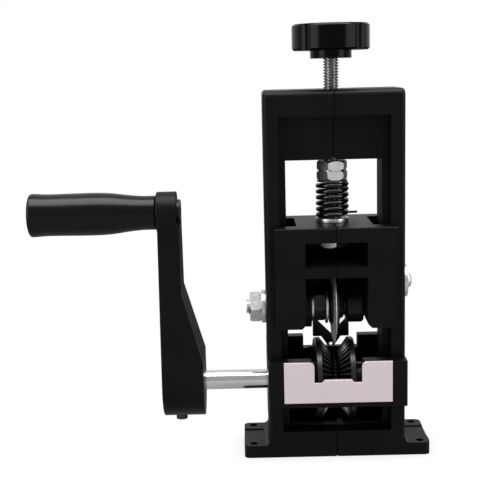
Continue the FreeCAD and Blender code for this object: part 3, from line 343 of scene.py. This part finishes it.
def thread(radius, length):
    """Threaded bar from z = 0 to length with chamfered ends; its crest line is a true helix."""
    bm = bmesh.new()
    columns = THREAD_COLUMNS
    fractions = [place for place, _ in THREAD_FORM[:-1]]
    turns = range(-2, int(length / THREAD_PITCH) + 3)
    rows = []
    for turn in turns:
        for fraction in fractions:
            row = []
            for i in range(columns):
                z = (turn + fraction + i / columns) * THREAD_PITCH
                z = min(max(z, 0.0), length)
                reach = thread_radius(z / THREAD_PITCH - i / columns, radius)
                reach = min(reach, radius - THREAD_CHAMFER + min(z, length - z))
                angle = 2 * math.pi * i / columns
                row.append(bm.verts.new((reach * math.cos(angle), reach * math.sin(angle), z)))
            rows.append(row)
    step = len(fractions)
    for r in range(len(rows) - step - 1):
        for i in range(columns - 1):
            bm.faces.new((rows[r][i], rows[r][i + 1], rows[r + 1][i + 1], rows[r + 1][i]))
        bm.faces.new((rows[r][-1], rows[r + step][0], rows[r + step + 1][0], rows[r + 1][-1]))
    bmesh.ops.remove_doubles(bm, verts=bm.verts, dist=MERGE)
    bmesh.ops.dissolve_degenerate(bm, dist=MERGE, edges=bm.edges)
    loose = [v for v in bm.verts if not v.link_faces]
    bmesh.ops.delete(bm, geom=loose, context="VERTS")
    rim = [e for e in bm.edges if len(e.link_faces) == 1]
    bmesh.ops.holes_fill(bm, edges=rim, sides=0)
    return bm


def wire_tube(path, radii):
    """Round wire along a path of points, cut off square at each end."""
    bm = bmesh.new()
    sides = WIRE_SIDES
    rings = []
    normal = None
    for k, point in enumerate(path):
        before, after = path[max(k - 1, 0)], path[min(k + 1, len(path) - 1)]
        tangent = (after - before).normalized()
        if normal is None:
            normal = tangent.orthogonal().normalized()
        normal = (normal - tangent * normal.dot(tangent)).normalized()
        across = tangent.cross(normal)
        ring = []
        for i in range(sides):
            angle = 2 * math.pi * i / sides
            way_out = normal * math.cos(angle) + across * math.sin(angle)
            ring.append(bm.verts.new(point + radii[k] * way_out))
        rings.append(ring)
    for a, b in zip(rings, rings[1:]):
        for i in range(sides):
            j = (i + 1) % sides
            bm.faces.new((a[i], a[j], b[j], b[i]))
    bm.faces.new(list(reversed(rings[0])))
    bm.faces.new(rings[-1])
    return bm


# ---- pieces -----------------------------------------------------------------------------------
def make_screw_rod():
    low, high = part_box("threaded_rod")
    bm = thread((high.x - low.x) / 2, high.z - low.z)
    bm.transform(Matrix.Translation((0, 0, low.z)))
    return new_piece("screw_rod_thread", bm, "screw", "screw", "zinc_hardware", "threaded_rod")


def make_axle_thread():
    low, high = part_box("blade_axle")
    bm = thread((high.z - low.z) / 2, high.x - low.x)
    along_x(bm, (low.x, 0, (low.z + high.z) / 2))
    return new_piece("blade_axle_thread", bm, "zinc", "carriage", "zinc_hardware", "blade_axle")


def make_spring():
    """Coil with flat end turns; the lower end runs out straight behind the coil."""
    low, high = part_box("compression_spring")
    coil_r = (high.x - low.x) / 2 - SPRING_WIRE_R
    bottom, top = low.z + SPRING_WIRE_R, high.z - SPRING_WIRE_R
    total = int(SPRING_TURNS * SPRING_STEPS)
    path, radii = [], []
    closed_rise = SPRING_WIRE_R
    open_rise = (top - bottom) - 2 * closed_rise
    for k in range(total + 1):
        turn = k / SPRING_STEPS
        from_end = min(turn, SPRING_TURNS - turn)
        if from_end < SPRING_CLOSED_TURNS:
            rise = closed_rise * (from_end / SPRING_CLOSED_TURNS) ** SPRING_CLOSED_EASE
            z = bottom + rise if turn < SPRING_TURNS / 2 else top - rise
        else:
            share = (turn - SPRING_CLOSED_TURNS) / (SPRING_TURNS - 2 * SPRING_CLOSED_TURNS)
            z = bottom + closed_rise + open_rise * share
        angle = math.pi / 2 + 2 * math.pi * turn
        path.append(Vector((coil_r * math.cos(angle), coil_r * math.sin(angle), z)))
        radii.append(SPRING_WIRE_R)
    tail = [Vector((SPRING_TAIL * share, coil_r, bottom + SPRING_TAIL_RISE * share))
            for share in SPRING_TAIL_SHARES]
    path = tail + path
    radii = [SPRING_TAIL_R, SPRING_TAIL_R, SPRING_TAIL_R * 1.2, SPRING_WIRE_R * 0.9] + radii
    piece = new_piece("coil_spring", wire_tube(path, radii), "spring", "spring_seat",
                      "spring_black", "compression_spring")
    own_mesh(piece)
    return piece


def make_roller():
    """V-grooved feed roller with radial teeth cut in both flanks."""
    low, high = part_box("feed_roller")
    centre_z = (low.z + high.z) / 2
    radius = (high.z - low.z) / 2
    half = (high.x - low.x) / 2
    bore = (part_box("drive_shaft")[1].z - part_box("drive_shaft")[0].z) / 2
    rim_x = half - ROLLER_RIM
    columns = ROLLER_RIDGES * ROLLER_RIDGE_COLUMNS
    flank = []
    for k in range(ROLLER_FLANK_STEPS + 1):
        share = k / ROLLER_FLANK_STEPS
        x = -rim_x + (rim_x - ROLLER_VALLEY_HALF) * share
        r = radius + (ROLLER_VALLEY_R - radius) * share
        cut = min(1.0, share * ROLLER_GROOVE_START) * (1 - ROLLER_GROOVE_FADE * share)
        flank.append((x, r, cut, -1.0))
    mirrored = [(-x, r, cut, 1.0) for x, r, cut, _ in reversed(flank)]
    outline = [(-half, bore, 0, 0), (-half, radius - ROLLER_BREAK, 0, 0),
               (-half + ROLLER_BREAK, radius, 0, 0)] + flank + mirrored
    outline += [(half - ROLLER_BREAK, radius, 0, 0), (half, radius - ROLLER_BREAK, 0, 0),
                (half, bore, 0, 0)]
    slope = math.atan2(radius - ROLLER_VALLEY_R, rim_x - ROLLER_VALLEY_HALF)
    bm = bmesh.new()
    rings = []
    for x, r, cut, side in outline:
        ring = []
        for i in range(columns):
            angle = 2 * math.pi * i / columns
            off_middle = abs(2 * ((ROLLER_RIDGES * i / columns) % 1.0) - 1)
            tooth = min(1.0, ROLLER_GROOVE_SLOPE * (1 - off_middle))
            depth = ROLLER_GROOVE * cut * tooth
            px = x + side * depth * math.sin(slope)
            pr = r - depth * math.cos(slope)
            ring.append(bm.verts.new((px, pr * math.sin(angle), centre_z + pr * math.cos(angle))))
        rings.append(ring)
    for a, b in zip(rings, rings[1:] + rings[:1]):
        for i in range(columns):
            j = (i + 1) % columns
            bm.faces.new((a[i], a[j], b[j], b[i]))
    paint_crest_highlights(FINISH["roller"], centre_z, rim_x)
    return new_piece("toothed_roller", bm, "roller", "crank", "roller_steel", "feed_roller")


def make_grip():
    """Turned handle: flat end with a slight flare, long swell, narrow neck at the arm."""
    low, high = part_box("handle_grip")
    length = high.x - low.x
    end_r = (high.z - low.z) / 2
    outline = [(0.0, 0.0)]
    for k in range(GRIP_END_STEPS + 1):
        angle = math.pi / 2 * k / GRIP_END_STEPS
        outline.append((end_r - GRIP_END_R * (1 - math.sin(angle)),
                        GRIP_END_R * (1 - math.cos(angle))))
    profile = [(GRIP_END_R, end_r)] + [(share * length, r) for share, r in GRIP_SIDES]
    for k in range(1, GRIP_STEPS + 1):
        z = GRIP_END_R + (length - GRIP_END_R - GRIP_NECK_BREAK) * k / GRIP_STEPS
        outline.append((smooth_through(profile, z), z))
    outline += [(GRIP_NECK_R - GRIP_NECK_BREAK, length), (GRIP_BORE_R, length),
                (GRIP_BORE_R, GRIP_BORE_END), (0.0, GRIP_BORE_END)]
    bm = along_x(lathe(outline, GRIP_COLUMNS), (low.x, 0, (low.z + high.z) / 2))
    return new_piece("turned_grip", bm, "grip", "grip", "grip_plastic", "handle_grip")


def smooth_through(points, at):
    """Cubic through (place, value) points with finite-difference slopes."""
    places = [p for p, _ in points]
    values = [v for _, v in points]
    slopes = [(values[min(i + 1, len(points) - 1)] - values[max(i - 1, 0)])
              / (places[min(i + 1, len(points) - 1)] - places[max(i - 1, 0)])
              for i in range(len(points))]
    slopes[0] = 0.0
    k = max(i for i in range(len(points) - 1) if at >= places[i] - 1e-9)
    h = places[k + 1] - places[k]
    t = (at - places[k]) / h
    return ((2 * t ** 3 - 3 * t ** 2 + 1) * values[k] + (t ** 3 - 2 * t ** 2 + t) * h * slopes[k]
            + (3 * t ** 2 - 2 * t ** 3) * values[k + 1] + (t ** 3 - t ** 2) * h * slopes[k + 1])


make_screw_rod()
make_axle_thread()
make_spring()
make_roller()
make_grip()

# node: (finish, edge round in mm)
CARRIED = {
    "frame_left_half": ("casting", 0.55), "frame_right_half": ("casting", 0.55),
    "guide_carrier": ("casting", 0.4), "rear_guide": ("casting", 0.4),
    "carriage_left_half": ("casting", 0.45), "carriage_right_half": ("casting", 0.45),
    "crank_arm": ("casting", 0.6), "front_plate": ("plate", 0.18),
    "cable_shoe": ("blackened", 0.2), "blade_flange_left": ("blackened", 0.2),
    "blade_flange_right": ("oxide", 0.2), "blade_sleeve": ("blackened", 0.2),
    "axle_inner_nut": ("oxide", 0.25), "axle_inner_washer": ("zinc", 0.15),
    "axle_outer_washer": ("zinc", 0.2), "axle_outer_nut": ("zinc", 0.3),
    "stud_washer": ("zinc", 0.2), "side_stud": ("zinc", 0.15),
    "axle_spacer_washer": ("zinc", 0.15),
    "thrust_nut": ("zinc", 0.3), "lock_nut": ("zinc", 0.3), "retaining_nut": ("zinc", 0.3),
    "spring_washer_lower": ("zinc", 0.35), "spring_washer_upper": ("oxide", 0.2),
    "knob": ("knob", 0.35), "knob_insert": ("zinc", 0.15), "captive_nut": ("zinc", 0.3),
    "drive_shaft": ("shaft", 0.3), "shaft_spacers": ("oxide", 0.25),
    "spacer_screws": ("oxide", 0.12), "arm_set_screw": ("oxide", 0.2),
    "grip_spindle": ("blackened", 0.2), "shaft_bush_left": ("bronze", 0.15),
    "shaft_bush_right": ("bronze", 0.15), "cutting_blade": ("blade", 0.05),
    "frame_screws": ("oxide", 0.15), "base_tie_bolt": ("oxide", 0.15),
    "base_tie_nut": ("oxide", 0.25), "plate_screws": ("oxide", 0.12),
    "guide_bolts": ("oxide", 0.15), "carriage_screws": ("oxide", 0.12),
}
for name, (key, width) in CARRIED.items():
    soften(name, key, width * MM)

# ---- stage, lights and camera -----------------------------------------------------------------
FLOOR_REACH = 6.0
FLOOR_FRONT = 0.70               # radiance that the object sees, before and behind it
FLOOR_REAR = 0.10
FLOOR_FADE = (-0.25, 0.35)       # where along Y it changes from one to the other
# painted contact shadow: an AO node darkens the floor's glow near the object
CONTACT_DISTANCE = 14 * MM
CONTACT_SAMPLES = 8
CONTACT_OPEN = (0.3, 0.9)        # how open a place is, from the darkest painted shadow to full white
CONTACT_DARKEST = 0.80
ROOM_FRONT = 0.45
ROOM_REAR = 0.85
ROOM_FADE = (-0.1, 0.5)
WHITE = (1, 1, 1, 1)
SIDE_BOXES = (("softbox_left", -56, 4.0), ("softbox_right", 56, 3.4))  # degrees, radiance
SIDE_BOX_DISTANCE = 1.4
SIDE_BOX_HEIGHT = 0.35
SIDE_BOX_SIZE = (0.75, 1.5)
SIDE_BOX_TARGET = (0, 0, 0.12)
TOP_BOX_PLACE = (0, -0.16, 1.25)
TOP_BOX_TARGET = (0, -0.1, 0.1)
TOP_BOX_SIZE = (1.5, 0.85)
TOP_BOX_RADIANCE = 8.0
CAMERA_PLACE = (-43.48 * MM, -511.33 * MM, 199.26 * MM)
CAMERA_YAW, CAMERA_PITCH, CAMERA_ROLL = -0.485, 9.705, 1.463  # degrees, pitch is downwards
SENSOR_WIDTH = 36.0
LENS = 75.29


def show_to_camera(tree, unseen, seen, out):
    """The camera sees one shader; everything else is lit by the other."""
    path = tree.nodes.new("ShaderNodeLightPath")
    mix = tree.nodes.new("ShaderNodeMixShader")
    link(tree, path.outputs["Is Camera Ray"], mix.inputs["Fac"])
    link(tree, unseen, mix.inputs[1])
    link(tree, seen, mix.inputs[2])
    link(tree, mix.outputs["Shader"], out.inputs["Surface"])


def make_floor():
    """White bench top with a painted contact shadow under the object. Only the camera sees it
    bright, so it does not light the front faces.
    """
    mesh = bpy.data.meshes.new("bench_top")
    reach = FLOOR_REACH
    corners = [(-reach, -reach, 0), (reach, -reach, 0), (reach, reach, 0), (-reach, reach, 0)]
    mesh.from_pydata(corners, [], [(0, 1, 2, 3)])
    floor = bpy.data.objects.new("bench_top", mesh)
    scene.collection.objects.link(floor)
    made = bpy.data.materials.new("bench_white")
    made.use_nodes = True
    tree = made.node_tree
    tree.nodes.clear()
    out = tree.nodes.new("ShaderNodeOutputMaterial")
    # painted shadow: the glow the camera sees is dimmed where the AO node finds the object close
    contact = tree.nodes.new("ShaderNodeAmbientOcclusion")
    contact.samples = CONTACT_SAMPLES
    contact.inputs["Distance"].default_value = CONTACT_DISTANCE
    shade = fade_between(tree, contact.outputs["AO"], CONTACT_OPEN, (CONTACT_DARKEST, 1.0), False)
    bright = tree.nodes.new("ShaderNodeEmission")
    link(tree, shade, bright.inputs["Strength"])
    place = tree.nodes.new("ShaderNodeSeparateXYZ")
    link(tree, tree.nodes.new("ShaderNodeTexCoord").outputs["Object"], place.inputs["Vector"])
    level = fade_between(tree, place.outputs["Y"], FLOOR_FADE, (FLOOR_FRONT, FLOOR_REAR))
    dim = tree.nodes.new("ShaderNodeEmission")
    link(tree, level, dim.inputs["Strength"])
    show_to_camera(tree, dim.outputs["Emission"], bright.outputs["Emission"], out)
    floor.data.materials.append(made)


def make_world():
    """White to the camera; to the object, paler behind it than in front."""
    world = bpy.data.worlds.new("studio")
    world.use_nodes = True
    scene.world = world
    tree = world.node_tree
    tree.nodes.clear()
    out = tree.nodes.new("ShaderNodeOutputWorld")
    split = tree.nodes.new("ShaderNodeSeparateXYZ")
    link(tree, tree.nodes.new("ShaderNodeTexCoord").outputs["Generated"], split.inputs["Vector"])
    room = tree.nodes.new("ShaderNodeBackground")
    room.inputs["Color"].default_value = WHITE
    level = fade_between(tree, split.outputs["Y"], ROOM_FADE, (ROOM_FRONT, ROOM_REAR))
    link(tree, level, room.inputs["Strength"])
    seen = tree.nodes.new("ShaderNodeBackground")
    seen.inputs["Strength"].default_value = 1.0
    seen.inputs["Color"].default_value = WHITE
    show_to_camera(tree, room.outputs["Background"], seen.outputs["Background"], out)


def softbox(name, place, target, size, radiance):
    """Rectangular light that faces target and has the given radiance."""
    lamp = bpy.data.lights.new(name, "AREA")
    lamp.shape = "RECTANGLE"
    lamp.size, lamp.size_y = size
    lamp.energy = radiance * math.pi * size[0] * size[1]
    holder = bpy.data.objects.new(name, lamp)
    scene.collection.objects.link(holder)
    holder.location = place
    holder.rotation_mode = "QUATERNION"
    holder.rotation_quaternion = (Vector(target) - Vector(place)).to_track_quat("-Z", "Y")
    holder.visible_camera = False


def make_lights():
    for name, angle, radiance in SIDE_BOXES:
        turn = math.radians(angle)
        place = (SIDE_BOX_DISTANCE * math.sin(turn), -SIDE_BOX_DISTANCE * math.cos(turn),
                 SIDE_BOX_HEIGHT)
        softbox(name, place, SIDE_BOX_TARGET, SIDE_BOX_SIZE, radiance)
    softbox("softbox_top", TOP_BOX_PLACE, TOP_BOX_TARGET, TOP_BOX_SIZE, TOP_BOX_RADIANCE)


def make_camera():
    lens = bpy.data.cameras.new("camera")
    lens.sensor_width = SENSOR_WIDTH
    lens.lens = LENS
    lens.clip_start = 0.01
    lens.clip_end = 100.0
    camera = bpy.data.objects.new("camera", lens)
    scene.collection.objects.link(camera)
    yaw = math.radians(CAMERA_YAW)
    pitch = math.radians(CAMERA_PITCH)
    roll = math.radians(CAMERA_ROLL)
    level_ahead = Vector((math.sin(yaw), math.cos(yaw), 0)) * math.cos(pitch)
    ahead = level_ahead - Vector((0, 0, math.sin(pitch)))
    side = Vector((math.cos(yaw), -math.sin(yaw), 0))
    above = side.cross(ahead)
    right = side * math.cos(roll) - above * math.sin(roll)
    up = side * math.sin(roll) + above * math.cos(roll)
    axes = Matrix((right, up, -ahead)).transposed().to_4x4()
    camera.matrix_world = Matrix.Translation(CAMERA_PLACE) @ axes
    scene.camera = camera


make_floor()
make_world()
make_lights()
make_camera()
scene.view_settings.view_transform = "Standard"
scene.view_settings.look = "None"

bpy.context.view_layer.update()
